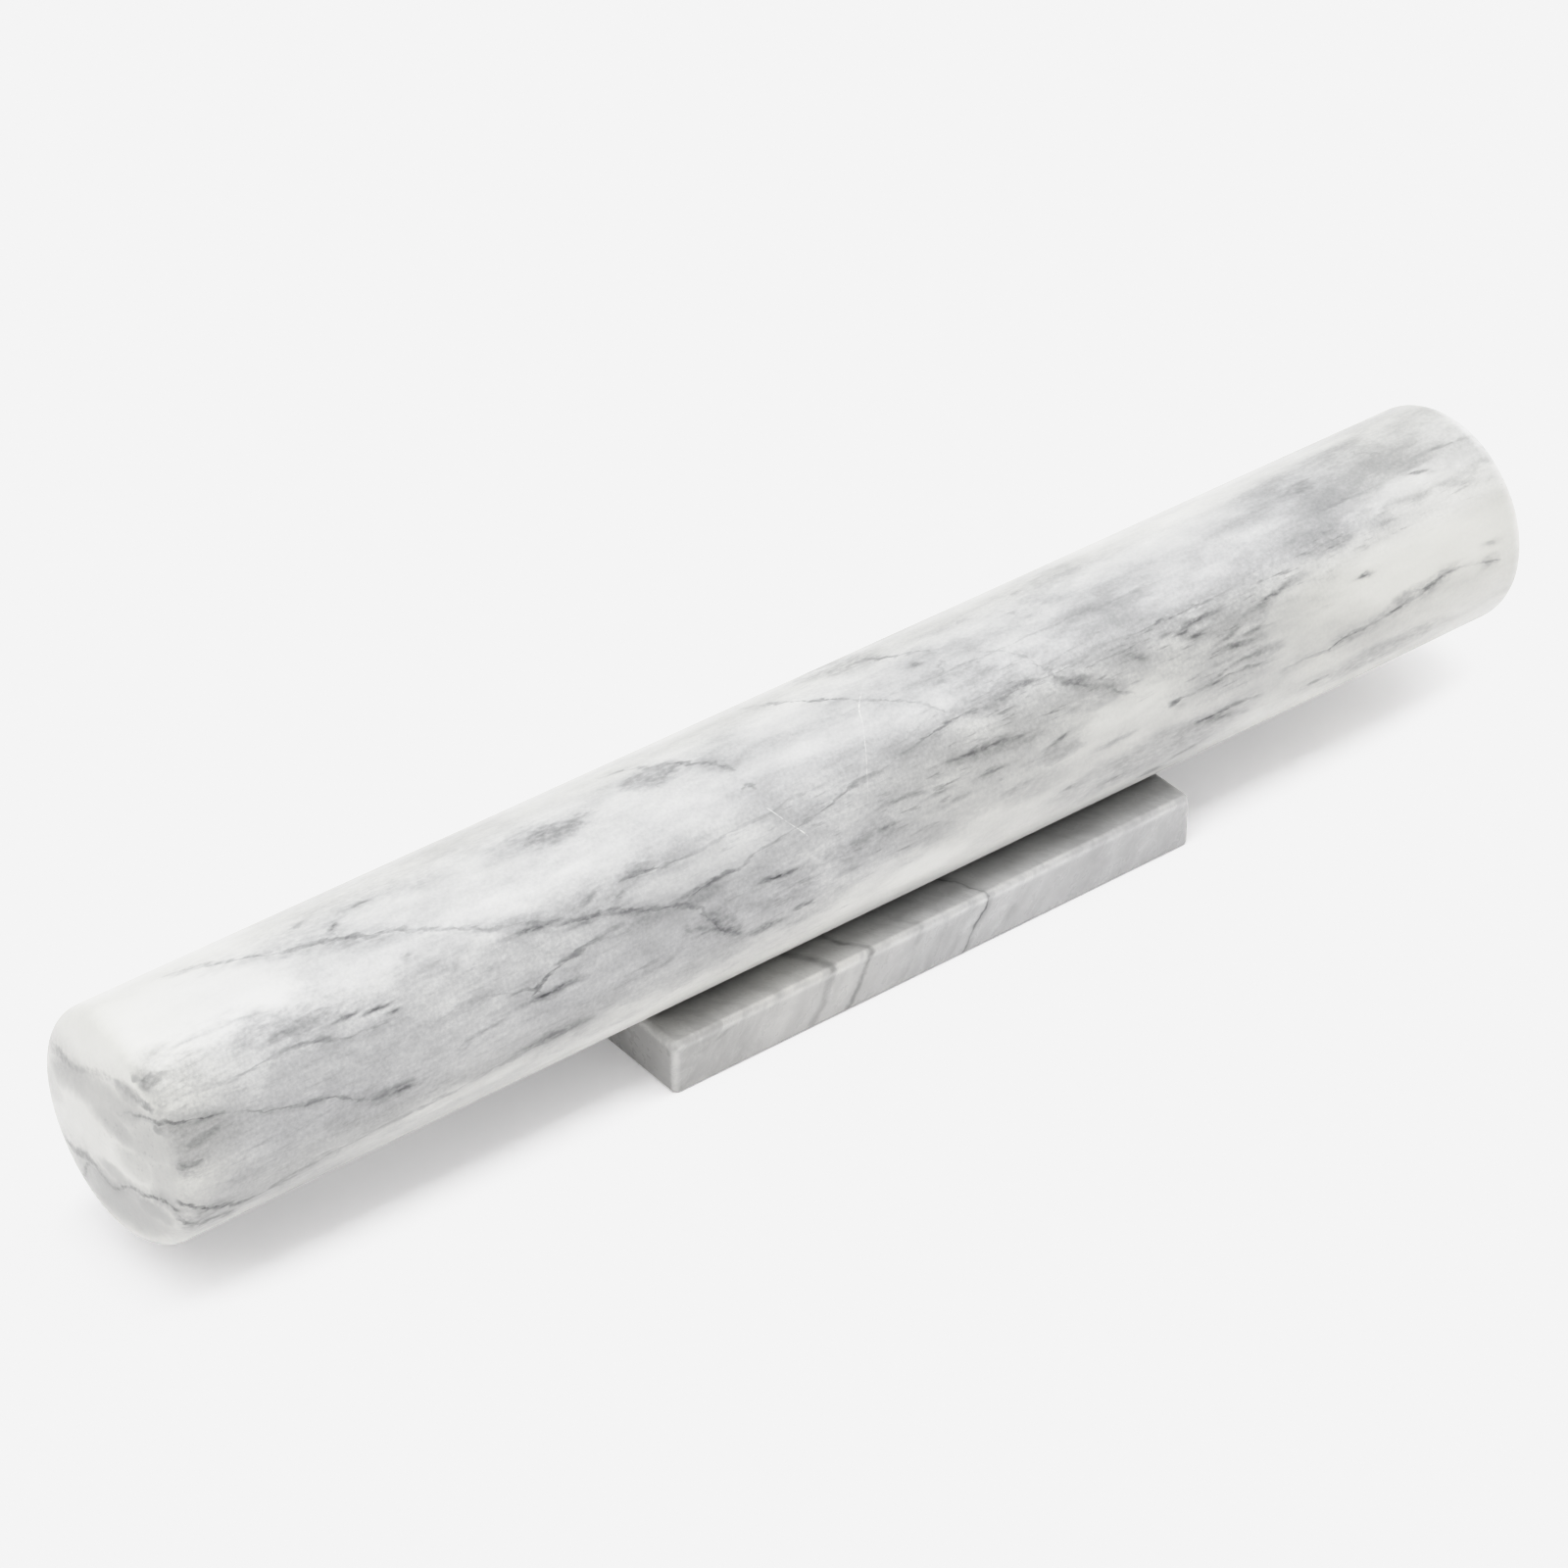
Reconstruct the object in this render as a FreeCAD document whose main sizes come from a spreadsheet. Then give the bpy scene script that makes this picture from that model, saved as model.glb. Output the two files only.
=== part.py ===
# A handleless rolling pin turned from one piece of marble, and the low marble stand whose groove it rests in.
# Millimetres. X runs along the pin, Y across it and Z up.
# The origin lies on the table under the middle of the pin.
import FreeCAD, Part
import math
import os
import Sketcher

# name, size, what it measures
DIMENSIONS = [
    ("pin_length", 406.0, "from the crown of one end to the crown of the other"),
    ("pin_diameter", 57.0, "across the straight roller"),
    ("end_dome_radius", 96.0, "radius of the shallow dome on each end"),
    ("end_round", 6.0, "rounding between roller and dome"),
    ("stand_length", 157.0, "along the pin"),
    ("stand_depth", 55.0, "across the pin"),
    ("stand_height", 14.5, "thickness of the slab"),
    ("stand_shift", 12.5, "from the middle of the pin to the middle of the stand"),
    ("stand_edge_round", 2.0, "eased upper and standing edges of the slab"),
    ("base_edge_round", 1.0, "eased edges of the underside"),
    ("groove_depth", 4.0, "how far the groove is cut into the top of the slab"),
    ("groove_clearance", 0.2, "gap between pin and groove"),
]

# Formulas that several features share.
PIN_RADIUS = "Dimensions.pin_diameter / 2"
GROOVE_RADIUS = f"({PIN_RADIUS} + Dimensions.groove_clearance)"
AXIS_HEIGHT = f"(Dimensions.stand_height - Dimensions.groove_depth + {GROOVE_RADIUS})"

doc = FreeCAD.newDocument("rolling_pin_on_stand")


def fill_sheet():
    """The driving dimensions, one named cell each."""
    sheet = doc.addObject("Spreadsheet::Sheet", "Dimensions")
    for row, (name, size, meaning) in enumerate(DIMENSIONS, start=1):
        sheet.set(f"A{row}", name)
        sheet.set(f"B{row}", str(size))
        sheet.setAlias(f"B{row}", name)
        sheet.set(f"C{row}", meaning)
    doc.recompute()
    return {name: size for name, size, meaning in DIMENSIONS}


def new_body(label):
    body = doc.addObject("PartDesign::Body", label)
    body.Label = label
    return body


def new_sketch(body, name, plane_role):
    """A sketch on one of the body's own origin planes."""
    plane = next(f for f in body.Origin.OriginFeatures if f.Role == plane_role)
    sketch = body.newObject("Sketcher::SketchObject", name)
    sketch.AttachmentSupport = [(plane, "")]
    sketch.MapMode = "FlatFace"
    return sketch


def constrain(sketch, kind, *args):
    return sketch.addConstraint(Sketcher.Constraint(kind, *args))


def drive(sketch, name, formula, kind, *args):
    """A dimension of the sketch that follows the sheet."""
    index = constrain(sketch, kind, *args)
    sketch.renameConstraint(index, name)
    sketch.setExpression(f"Constraints.{name}", formula)


def finish_sketch(sketch):
    doc.recompute()
    assert sketch.FullyConstrained, f"{sketch.Label} is not fully constrained"


def round_edges(body, base, name, alias, chosen):
    """Rounds the edges of base that chosen(edge) picks."""
    edges = [f"Edge{i}" for i, edge in enumerate(base.Shape.Edges, start=1) if chosen(edge)]
    rounding = body.newObject("PartDesign::Fillet", name)
    rounding.Base = (base, edges)
    rounding.setExpression("Radius", f"Dimensions.{alias}")
    doc.recompute()
    print(f"{name}: {len(edges)} edges rounded")
    return rounding


def on_height(edge, height):
    """True where the whole edge lies at one height."""
    box = edge.BoundBox
    return abs(box.ZMin - height) < 1e-4 and abs(box.ZMax - height) < 1e-4


def turn_pin(size):
    """Half of the long section, turned about X, with both rims rounded."""
    half = size["pin_length"] / 2
    radius = size["pin_diameter"] / 2
    dome = size["end_dome_radius"]
    sweep = math.asin(radius / dome)
    centre = half - dome
    rim = centre + dome * math.cos(sweep)
    up = FreeCAD.Vector(0, 0, 1)

    body = new_body("rolling_pin")
    sketch = new_sketch(body, "pin_section", "XY_Plane")
    roller = sketch.addGeometry(Part.LineSegment(FreeCAD.Vector(-rim, radius, 0), FreeCAD.Vector(rim, radius, 0)))
    far_dome = sketch.addGeometry(
        Part.ArcOfCircle(Part.Circle(FreeCAD.Vector(centre, 0, 0), up, dome), 0, sweep)
    )
    axis = sketch.addGeometry(Part.LineSegment(FreeCAD.Vector(half, 0, 0), FreeCAD.Vector(-half, 0, 0)))
    near_dome = sketch.addGeometry(
        Part.ArcOfCircle(Part.Circle(FreeCAD.Vector(-centre, 0, 0), up, dome), math.pi - sweep, math.pi)
    )
    constrain(sketch, "Coincident", roller, 2, far_dome, 2)
    constrain(sketch, "Coincident", far_dome, 1, axis, 1)
    constrain(sketch, "Coincident", axis, 2, near_dome, 2)
    constrain(sketch, "Coincident", near_dome, 1, roller, 1)
    constrain(sketch, "PointOnObject", axis, 1, -1)
    constrain(sketch, "Symmetric", axis, 1, axis, 2, -1, 1)
    constrain(sketch, "PointOnObject", far_dome, 3, -1)
    constrain(sketch, "PointOnObject", near_dome, 3, -1)
    constrain(sketch, "Horizontal", roller)
    constrain(sketch, "Equal", far_dome, near_dome)
    drive(sketch, "end_to_end", "Dimensions.pin_length", "DistanceX", axis, 2, axis, 1, 2 * half)
    drive(sketch, "roller_radius", PIN_RADIUS, "DistanceY", -1, 1, roller, 1, radius)
    drive(sketch, "dome_radius", "Dimensions.end_dome_radius", "Radius", far_dome, dome)
    finish_sketch(sketch)

    turned = body.newObject("PartDesign::Revolution", "turned_blank")
    turned.Profile = sketch
    turned.ReferenceAxis = (sketch, ["H_Axis"])
    turned.Angle = 360
    doc.recompute()

    def is_rim(edge):
        return not edge.Degenerated and edge.BoundBox.XLength < 1e-4

    round_edges(body, turned, "rounded_rims", "end_round", is_rim)
    body.setExpression("Placement.Base.z", AXIS_HEIGHT)
    return body


def cut_stand(size):
    """The slab's cross section with the groove in its top, drawn out along X, with all its edges eased."""
    side = size["stand_depth"] / 2
    top = size["stand_height"]
    groove = size["pin_diameter"] / 2 + size["groove_clearance"]
    centre = top - size["groove_depth"] + groove
    spread = math.acos((groove - size["groove_depth"]) / groove)
    lip = groove * math.sin(spread)
    down = -math.pi / 2

    body = new_body("stand")
    sketch = new_sketch(body, "slab_section", "YZ_Plane")
    corners = [(-lip, top), (-side, top), (-side, 0), (side, 0), (side, top), (lip, top)]
    points = [FreeCAD.Vector(y, z, 0) for y, z in corners]
    sides = [sketch.addGeometry(Part.LineSegment(a, b)) for a, b in zip(points, points[1:])]
    circle = Part.Circle(FreeCAD.Vector(0, centre, 0), FreeCAD.Vector(0, 0, 1), groove)
    cradle = sketch.addGeometry(Part.ArcOfCircle(circle, down - spread, down + spread))
    front_top, front, base, back, back_top = sides
    for line, following in zip(sides, sides[1:]):
        constrain(sketch, "Coincident", line, 2, following, 1)
    constrain(sketch, "Coincident", back_top, 2, cradle, 2)
    constrain(sketch, "Coincident", cradle, 1, front_top, 1)
    for line in (front_top, base, back_top):
        constrain(sketch, "Horizontal", line)
    for line in (front, back):
        constrain(sketch, "Vertical", line)
    constrain(sketch, "PointOnObject", base, 1, -1)
    constrain(sketch, "PointOnObject", cradle, 3, -2)
    constrain(sketch, "Symmetric", front, 1, back, 2, -2)
    drive(sketch, "depth", "Dimensions.stand_depth", "DistanceX", base, 1, base, 2, 2 * side)
    drive(sketch, "height", "Dimensions.stand_height", "DistanceY", base, 1, front, 1, top)
    drive(sketch, "cradle_radius", GROOVE_RADIUS, "Radius", cradle, groove)
    drive(sketch, "cradle_axis", AXIS_HEIGHT, "DistanceY", -1, 1, cradle, 3, centre)
    finish_sketch(sketch)

    slab = body.newObject("PartDesign::Pad", "grooved_slab")
    slab.Profile = sketch
    slab.Midplane = True
    slab.setExpression("Length", "Dimensions.stand_length")
    doc.recompute()

    eased = round_edges(body, slab, "eased_edges", "stand_edge_round", lambda edge: not on_height(edge, 0))
    round_edges(body, eased, "eased_base", "base_edge_round", lambda edge: on_height(edge, 0))
    body.setExpression("Placement.Base.x", "Dimensions.stand_shift")
    return body


def check_document():
    for item in doc.Objects:
        bad = [word for word in item.State if word in ("Invalid", "Error")]
        assert not bad, f"{item.Label} is {bad}"


size = fill_sheet()
pieces = [turn_pin(size), cut_stand(size)]
doc.recompute()
check_document()

os.makedirs("parts", exist_ok=True)
for piece in pieces:
    shape = piece.Shape
    assert not shape.isNull() and shape.isValid(), f"{piece.Label} has no valid shape"
    assert len(shape.Solids) == 1, f"{piece.Label} is not one solid"
    shape.exportStep(f"parts/{piece.Label}.step")
    box = shape.optimalBoundingBox(False)
    print(f"{piece.Label}: {box.XLength:.2f} x {box.YLength:.2f} x {box.ZLength:.2f} mm, {shape.Volume:.0f} mm3")

gap = pieces[0].Shape.distToShape(pieces[1].Shape)[0]
print(f"pin to groove: {gap:.3f} mm")
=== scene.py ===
# %% [markdown]
# # A marble rolling pin on its stand
# The object is a rolling pin without handles, turned from one piece of white and grey marble.
# It lies in the groove of a low marble stand.
# The measured model comes first, as a fixed frame. Every piece below takes its place and its main
# sizes from it, so nothing has to be fitted afterwards.

# %% load the measured frame
import bmesh
import bpy
import math
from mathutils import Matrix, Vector


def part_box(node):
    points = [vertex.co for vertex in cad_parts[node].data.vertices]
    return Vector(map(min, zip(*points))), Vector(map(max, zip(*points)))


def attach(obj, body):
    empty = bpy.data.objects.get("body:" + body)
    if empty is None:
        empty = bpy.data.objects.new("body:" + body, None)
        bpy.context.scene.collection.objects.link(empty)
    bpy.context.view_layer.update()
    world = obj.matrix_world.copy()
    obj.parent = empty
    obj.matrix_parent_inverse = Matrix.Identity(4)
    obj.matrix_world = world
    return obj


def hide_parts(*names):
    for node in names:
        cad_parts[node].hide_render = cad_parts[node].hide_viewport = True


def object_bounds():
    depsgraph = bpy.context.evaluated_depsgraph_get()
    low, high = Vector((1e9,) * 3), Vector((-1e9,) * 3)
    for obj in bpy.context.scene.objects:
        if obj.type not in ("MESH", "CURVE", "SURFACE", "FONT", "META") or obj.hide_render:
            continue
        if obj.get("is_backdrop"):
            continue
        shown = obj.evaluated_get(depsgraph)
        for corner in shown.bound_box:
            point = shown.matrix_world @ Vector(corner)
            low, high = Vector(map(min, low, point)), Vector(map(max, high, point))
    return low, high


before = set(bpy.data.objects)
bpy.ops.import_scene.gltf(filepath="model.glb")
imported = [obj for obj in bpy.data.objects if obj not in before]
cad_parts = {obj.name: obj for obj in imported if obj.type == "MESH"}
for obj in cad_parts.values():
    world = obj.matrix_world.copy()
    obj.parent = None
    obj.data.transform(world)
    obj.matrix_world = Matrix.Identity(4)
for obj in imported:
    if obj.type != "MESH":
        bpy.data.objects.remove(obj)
cad_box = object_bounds()
pin_low, pin_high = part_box("rolling_pin")
stand_low, stand_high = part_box("stand")
print("pin", [round(v * 1000, 1) for v in pin_high - pin_low], "mm")
print("stand", [round(v * 1000, 1) for v in stand_high - stand_low], "mm")

# %% [markdown]
# ## From a mesh to a piece
# A piece is modelled in a bmesh, which is a mesh that is easy to edit. When it is done it becomes an
# object at the origin, rides on its body of the frame, and stands for the plain node there. Points
# that fall on each other are merged first, so that no seam stays open. The shading is smooth except
# at sharp edges. The millimetre is the natural unit of this object, while the scene is in metres.

# %% helper for the pieces
MM = 0.001
TOUCHING = 0.001 * MM
SHARP = math.radians(40)


def finish_piece(bm, name, body):
    """Closes the bmesh, makes an object of it and hangs that on a body of the frame."""
    bmesh.ops.remove_doubles(bm, verts=bm.verts, dist=TOUCHING)
    bmesh.ops.recalc_face_normals(bm, faces=bm.faces)
    mesh = bpy.data.meshes.new(name)
    bm.to_mesh(mesh)
    bm.free()
    mesh.shade_smooth()
    mesh.set_sharp_from_angle(angle=SHARP)
    piece = bpy.data.objects.new(name, mesh)
    bpy.context.scene.collection.objects.link(piece)
    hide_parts(body)
    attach(piece, body)
    print(name, len(mesh.polygons), "faces")
    return piece


print("edges of more than", round(math.degrees(SHARP)), "degrees stay sharp")

# %% [markdown]
# ## The pin
# The real pin is turned on a stone lathe: a straight roller whose ends are shallow domes, with a
# soft rounding between dome and roller. A cylinder with a bevel would give flat ends, so the pin is
# made as the lathe makes it. One point is swept along the dome and then along the rounding, the
# half outline is mirrored, and the whole outline is spun about the long axis.

# %% the pin's outline
HALF_LENGTH = (pin_high.x - pin_low.x) / 2
RADIUS = (pin_high.z - pin_low.z) / 2
AXIS = Vector((0, 0, (pin_high.z + pin_low.z) / 2))
DOME_RADIUS = 96 * MM
END_ROUND = 6 * MM
DOME_STEPS, ROUND_STEPS, ROLLER_CUTS = 12, 14, 19
X_AXIS, Y_AXIS = (1, 0, 0), (0, 1, 0)


def sweep_point(bm, point, centre, axis, angle, steps):
    """Sweeps a point along an arc, which leaves a line of edges, and returns the point at its end."""
    swept = bmesh.ops.spin(bm, geom=[point], cent=centre, axis=axis, angle=angle, steps=steps)
    return next(item for item in swept["geom_last"] if isinstance(item, bmesh.types.BMVert))


pin_mesh = bmesh.new()
dome_centre = AXIS + Vector((DOME_RADIUS - HALF_LENGTH, 0, 0))
dome_angle = math.asin((RADIUS - END_ROUND) / (DOME_RADIUS - END_ROUND))
to_shoulder = Vector((-math.cos(dome_angle), 0, math.sin(dome_angle)))
round_centre = dome_centre + (DOME_RADIUS - END_ROUND) * to_shoulder
crown = pin_mesh.verts.new(AXIS - Vector((HALF_LENGTH, 0, 0)))
shoulder = sweep_point(pin_mesh, crown, dome_centre, Y_AXIS, dome_angle, DOME_STEPS)
rim = sweep_point(pin_mesh, shoulder, round_centre, Y_AXIS, math.pi / 2 - dome_angle, ROUND_STEPS)
middle = bmesh.ops.extrude_vert_indiv(pin_mesh, verts=[rim])
bmesh.ops.translate(pin_mesh, verts=middle["verts"], vec=Vector((-rim.co.x, 0, 0)))
bmesh.ops.subdivide_edges(pin_mesh, edges=middle["edges"], cuts=ROLLER_CUTS)
bmesh.ops.mirror(pin_mesh, geom=pin_mesh.verts[:] + pin_mesh.edges[:], axis="X", merge_dist=TOUCHING)
print("outline of", len(pin_mesh.verts), "points, dome", round(math.degrees(dome_angle), 1), "degrees")

# %% [markdown]
# The spin below is the lathe. It makes one face for every step around the axis and closes the last
# step onto the first, so no seam is left.

# %% turn the outline on the lathe
TURN_STEPS = 180
bmesh.ops.spin(
    pin_mesh, geom=pin_mesh.verts[:] + pin_mesh.edges[:], cent=AXIS, axis=X_AXIS,
    angle=2 * math.pi, steps=TURN_STEPS, use_merge=True,
)
pin = finish_piece(pin_mesh, "marble_pin", "rolling_pin")

# %% [markdown]
# ## The stand
# The stand is a low slab, sawn from marble, with a groove of the pin's own radius along its top and
# all its edges eased by hand. A box with a cylinder cut out of it would do too, but a cut leaves an
# untidy mesh. So its cross section is drawn once: the groove is swept from one lip to the other
# about the axis of the pin, and pin and groove fit.

# %% the stand's cross section
GROOVE_DEPTH = 4 * MM
GROOVE_CLEARANCE = 0.2 * MM
GROOVE_STEPS = 18
groove_radius = RADIUS + GROOVE_CLEARANCE
groove_angle = math.acos((groove_radius - GROOVE_DEPTH) / groove_radius)
lip = groove_radius * math.sin(groove_angle)

stand_mesh = bmesh.new()
corners = (
    (stand_high.y, stand_high.z),
    (stand_high.y, stand_low.z),
    (stand_low.y, stand_low.z),
    (stand_low.y, stand_high.z),
    (-lip, stand_high.z),
)
section = [stand_mesh.verts.new((stand_low.x, y, z)) for y, z in corners]
for a, b in zip(section, section[1:]):
    stand_mesh.edges.new((a, b))
groove_centre = (stand_low.x, 0, AXIS.z)
far_lip = sweep_point(stand_mesh, section[-1], groove_centre, X_AXIS, 2 * groove_angle, GROOVE_STEPS)
stand_mesh.edges.new((far_lip, section[0]))
end_face = bmesh.ops.contextual_create(stand_mesh, geom=stand_mesh.edges[:])["faces"]
print("groove", round(2 * lip / MM, 1), "mm wide,", round(math.degrees(2 * groove_angle), 1), "degrees")

# %% [markdown]
# Extruding draws the section out to the slab's full length. The folds are then found by the angle
# between their faces, which leaves the smooth groove alone. A bevel rounds them: the upper ones by
# two millimetres, since they catch a bright line of light in the photograph, and the ones that stand
# on the table by one.

# %% draw the section out and ease the edges
EDGE_ROUND, EDGE_SEGMENTS = 2 * MM, 5
BASE_ROUND, BASE_SEGMENTS = 1 * MM, 4
FOLD = math.radians(20)


def folds(bm, low, high):
    """Edges where two faces meet at an angle, with their higher end between two heights."""
    return [
        edge for edge in bm.edges
        if edge.calc_face_angle(0) > FOLD and low < max(v.co.z for v in edge.verts) < high
    ]


def ease(bm, edges, width, segments):
    """Rounds edges off."""
    bmesh.ops.bevel(
        bm, geom=edges, offset=width, offset_type="OFFSET", segments=segments, profile=0.5,
        affect="EDGES", material=-1, clamp_overlap=True,
    )


drawn = bmesh.ops.extrude_face_region(stand_mesh, geom=end_face)
drawn_verts = [item for item in drawn["geom"] if isinstance(item, bmesh.types.BMVert)]
bmesh.ops.translate(stand_mesh, verts=drawn_verts, vec=Vector((stand_high.x - stand_low.x, 0, 0)))
bmesh.ops.recalc_face_normals(stand_mesh, faces=stand_mesh.faces)
upper = folds(stand_mesh, stand_low.z + BASE_ROUND, stand_high.z + BASE_ROUND)
ease(stand_mesh, upper, EDGE_ROUND, EDGE_SEGMENTS)
base = folds(stand_mesh, stand_low.z - BASE_ROUND, stand_low.z + 10 * TOUCHING)
ease(stand_mesh, base, BASE_ROUND, BASE_SEGMENTS)
print(len(upper), "upper and", len(base), "base edges eased")
stand = finish_piece(stand_mesh, "marble_stand", "stand")

# %% [markdown]
# ## Small helpers for the finishes
# A finish is a network of nodes. Most nodes here only place a number on the surface: how grey the
# marble is at this point. It could be wired by hand in the shader editor. Written with one short
# call for each node, the network is as short as its idea.

# %% helpers that add nodes
def node(tree, kind, sockets, **options):
    """Adds a node, sets its options, and fills its sockets with numbers or with links."""
    made = tree.nodes.new("ShaderNode" + kind)
    for name, value in options.items():
        setattr(made, name, value)
    for name, value in sockets.items():
        if isinstance(value, bpy.types.NodeSocket):
            tree.links.new(value, made.inputs[name])
        else:
            made.inputs[name].default_value = value
    return made


def calc(tree, operation, *values):
    """One step of arithmetic on numbers or sockets."""
    return node(tree, "Math", dict(enumerate(values)), operation=operation).outputs[0]


def fade(tree, value, start, end, low=0.0, high=1.0):
    """Goes softly from low to high while the value goes from start to end."""
    sockets = {"Value": value, "From Min": start, "From Max": end, "To Min": low, "To Max": high}
    return node(tree, "MapRange", sockets, interpolation_type="SMOOTHSTEP", clamp=False).outputs[0]


def blend(tree, share, low, high):
    """Low where the share is 0, high where it is 1."""
    return node(tree, "Mix", {"Factor": share, "A": low, "B": high}).outputs[0]


print("node, calc, fade and blend are ready")

# %% [markdown]
# Stone is mostly noise. A noise texture has the same size in all directions, so a mapping node
# stretches it first: long along the pin and short around it, as the layers of marble lie. Places are
# read from the object's own coordinates, which stay with the piece when it is lifted.

# %% helpers for stone
def grain(tree, place, size, detail):
    """Noise between 0 and 1, stretched to its own size in millimetres along X, Y and Z."""
    stretched = node(tree, "Mapping", {"Vector": place, "Scale": [1 / length for length in size]})
    sockets = {"Vector": stretched.outputs[0], "Scale": 1, "Detail": detail, "Roughness": 0.6}
    return node(tree, "TexNoise", sockets)


def shake(tree, value, noise, amount):
    """Adds a noise to a value, as often upwards as downwards."""
    return calc(tree, "MULTIPLY_ADD", calc(tree, "SUBTRACT", noise, 0.5), amount, value)


def new_stone(name, centre):
    """A material, its nodes, and the place of a point in it: millimetres from the given centre."""
    stone = bpy.data.materials.new(name)
    stone.use_nodes = True
    tree = stone.node_tree
    point = node(tree, "TexCoord", {}).outputs["Object"]
    sockets = {"Vector": point, "Location": -centre / MM, "Scale": (1 / MM, 1 / MM, 1 / MM)}
    return stone, tree, node(tree, "Mapping", sockets).outputs[0]


print("grain, shake and new_stone are ready")

# %% [markdown]
# ## Where a point lies on the pin
# The photograph shows the veins on a round surface, so they are easiest to place on the unrolled
# one: millimetres along the pin, and degrees around it, counted from the top towards the front.
# A UV map could unroll it too. The arc tangent of two coordinates does it without a seam in front.

# %% places on the pin
pin_stone, tree, place = new_stone("pin_marble", AXIS)
DEGREE = math.pi / 180 * RADIUS / MM

along, across, up = node(tree, "SeparateXYZ", {"Vector": place}).outputs
around = calc(tree, "ARCTAN2", calc(tree, "MULTIPLY", across, -1), up)
around = calc(tree, "MULTIPLY", around, 180 / math.pi)
from_axis = calc(tree, "ADD", calc(tree, "POWER", across, 2), calc(tree, "POWER", up, 2))
from_axis = calc(tree, "SQRT", from_axis)
print("one degree around the pin is", round(DEGREE, 3), "mm")

# %% [markdown]
# Real veins are never smooth. A noise that is long along the pin and short around it pushes every
# point a little aside first, so that a drawn line comes out feathered like the stone. Soft marks are
# torn further along the pin than sharp ones.

# %% pushed and torn places
PUSH_ALONG, PUSH_AROUND = 7.5, 8
FEATHER, TEAR = 1.5, 8

push = grain(tree, place, (14, 5, 5), 3.5).outputs["Color"]
push = node(tree, "SeparateColor", {"Color": push}).outputs
feather = calc(tree, "SUBTRACT", grain(tree, place, (4, 1.6, 1.6), 4).outputs[0], 0.5)
along_pushed = shake(tree, along, push[0], PUSH_ALONG)
along_pushed = calc(tree, "MULTIPLY_ADD", feather, FEATHER, along_pushed)
along_torn = calc(tree, "MULTIPLY_ADD", feather, TEAR, along_pushed)
around_pushed = shake(tree, around, push[1], PUSH_AROUND)
sideways = calc(tree, "MULTIPLY", around_pushed, DEGREE)
unrolled = node(tree, "CombineXYZ", {"X": along_pushed, "Y": sideways, "Z": 1}).outputs[0]
torn = node(tree, "CombineXYZ", {"X": along_torn, "Y": sideways, "Z": 1}).outputs[0]
print("pushed by up to", PUSH_ALONG / 2, "mm and", PUSH_AROUND / 2, "degrees")

# %% [markdown]
# Marble looks alike at many sizes, so several noises are kept at hand: from clouds as long as a hand
# down to single crystals. Two of them become factors that thin a vein out and thicken it again.

# %% the grain of the pin
clouds = grain(tree, place, (42, 15, 15), 5).outputs[0]
patches = grain(tree, place, (12, 4.5, 4.5), 4).outputs[0]
streaks = grain(tree, place, (8, 1.1, 1.1), 4).outputs[0]
clumps = fade(tree, grain(tree, place, (7, 2.2, 2.2), 3).outputs[0], 0.36, 0.64, 0.25, 1.3)
crumbs = grain(tree, place, (2.2, 1.1, 1.1), 3).outputs[0]
haze = fade(tree, patches, 0.36, 0.62, 0.1, 1.1)
crystals = grain(tree, place, (0.9, 0.8, 0.8), 2).outputs[0]
print("the pin has", len(tree.nodes), "nodes so far")

# %% [markdown]
# ## Broad greys
# From afar the pin has three zones: a white back, a grey belt along the front, and a cream strip
# under it. Two curves draw the borders of the belt along the pin, and three more say how grey each
# zone is. A curve node holds three curves at once, one in each colour channel, which saves nodes.

# %% helper for curves
def draw_curves(tree, value, rows, start, end):
    """Three curves over a length. A row has a place on it, then the value of each curve from 0 to 1."""
    sockets = {"Value": value, "From Min": start, "From Max": end}
    share = node(tree, "MapRange", sockets, clamp=False).outputs[0]
    shares = node(tree, "CombineColor", {"Red": share, "Green": share, "Blue": share}).outputs[0]
    curves = node(tree, "RGBCurve", {"Color": shares})
    for column, curve in enumerate(curves.mapping.curves[:3], start=1):
        for number, row in enumerate(rows):
            spot = ((row[0] - start) / (end - start), row[column])
            if number < 2:
                curve.points[number].location = spot
            else:
                curve.points.new(*spot)
        for spot in curve.points:
            spot.handle_type = "AUTO_CLAMPED"
    curves.mapping.extend = "HORIZONTAL"
    curves.mapping.update()
    return curves.outputs[0]


print("curves are ready")

# %% [markdown]
# A curve node only knows values from 0 to 1. The borders are written in degrees, which are easier to
# read, and are scaled to that range here and back again where they are used.

# %% borders and greys of the zones
PIN_ENDS = (-203, 203)
AROUND_LOW, AROUND_SPAN = -60, 220
# along the pin in mm, then the upper and the lower border of the belt in degrees
BORDERS = (
    (-203, 22, 94), (-165, 30, 110), (-150, 36, 106), (-110, 41, 103), (-60, 39, 103), (0, 38, 90),
    (20, 35, 78), (50, 32, 71), (60, 32, 62), (75, 32, 62), (84, 34, 68), (98, 35, 82), (110, 36, 80),
    (119, 34, 57), (140, 32, 49), (203, 36, 44),
)
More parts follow.
